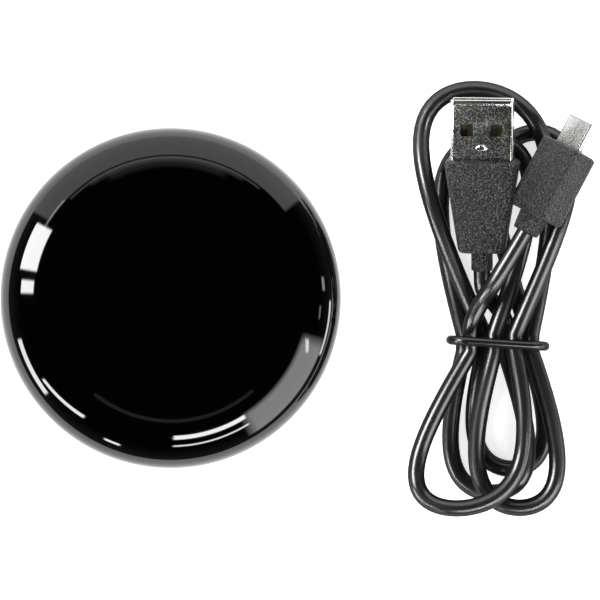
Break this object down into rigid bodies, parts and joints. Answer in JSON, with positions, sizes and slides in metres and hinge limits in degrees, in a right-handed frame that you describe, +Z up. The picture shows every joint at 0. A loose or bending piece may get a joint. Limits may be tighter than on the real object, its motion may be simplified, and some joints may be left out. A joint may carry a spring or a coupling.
{
  "type": "infrared remote control hub",
  "caption": "Low round hub with a glossy black dome over infrared emitters, a rear power socket and reset button, with its USB power cable wound and tied beside it.",
  "frame": {"origin": "centre of the rubber foot's underside, on the table", "axes": "+Z up through the dome, +Y to the rear where the power socket is, +X to the side where the cable lies"},
  "size_m": [0.1152, 0.0835, 0.021],
  "materials": {
    "dome_plastic": "polished",
    "base_plastic": "fine spark texture",
    "foot_rubber": "matt",
    "screw_steel": "zinc plated",
    "board": "solder mask",
    "radio_board": "solder mask",
    "can": "tin plated",
    "emitter_resin": "clear tinted resin",
    "receiver_resin": "dark resin",
    "status_resin": "clear resin",
    "light_guide": "clear",
    "socket_steel": "nickel plated",
    "insulator_black": "moulded",
    "switch_plastic": "moulded",
    "button_plastic": "satin",
    "plunger_plastic": "moulded",
    "chip_black": "moulded",
    "capacitor_can": "satin",
    "plug_steel": "nickel plated",
    "insulator_dark": "moulded",
    "contact_gold": "gold plated",
    "grip_pvc": "spark texture",
    "cable_pvc": "satin",
    "tie_wire": "satin"
  },
  "bodies": {
    "hub": {"top_shell": "dome_plastic", "bottom_cover": "base_plastic", "foot_pad": "foot_rubber", "case_screws": "screw_steel", "main_pcb": "board", "wifi_module": "radio_board", "wifi_shield": "can", "ir_led_1": "emitter_resin", "ir_led_2": "emitter_resin", "ir_led_3": "emitter_resin", "ir_led_4": "emitter_resin", "ir_led_5": "emitter_resin", "ir_led_6": "emitter_resin", "ir_led_top": "emitter_resin", "ir_receiver": "receiver_resin", "status_led": "status_resin", "light_pipe": "light_guide", "usb_receptacle_shell": "socket_steel", "usb_receptacle_tongue": "insulator_black", "reset_switch": "switch_plastic", "regulator": "chip_black", "capacitor": "capacitor_can", "driver_transistor_1": "chip_black", "driver_transistor_2": "chip_black"},
    "button": {"reset_button": "button_plastic", "switch_plunger": "plunger_plastic"},
    "cable": {"usb_a_shell": "plug_steel", "usb_a_tongue": "insulator_dark", "usb_a_contacts": "contact_gold", "usb_a_overmould": "grip_pvc", "usb_a_relief": "grip_pvc", "micro_plug_shell": "plug_steel", "micro_plug_latches": "plug_steel", "micro_plug_tongue": "insulator_black", "micro_plug_overmould": "grip_pvc", "micro_plug_relief": "grip_pvc", "cable_hank": "cable_pvc", "cable_usb_a_end": "cable_pvc", "cable_micro_end": "cable_pvc", "cable_tie": "tie_wire"}
  },
  "joints": [
    {"name": "reset_press", "type": "slide", "parent": "hub", "child": "button", "axis": [0.4384, -0.8988, 0], "range_m": [0, 0.0003], "stiffness_N_per_m": 600},
    {"name": "cable_lift", "type": "slide", "parent": "hub", "child": "cable", "axis": [0, 0, 1], "range_m": [0, 0.03]}
  ]
}
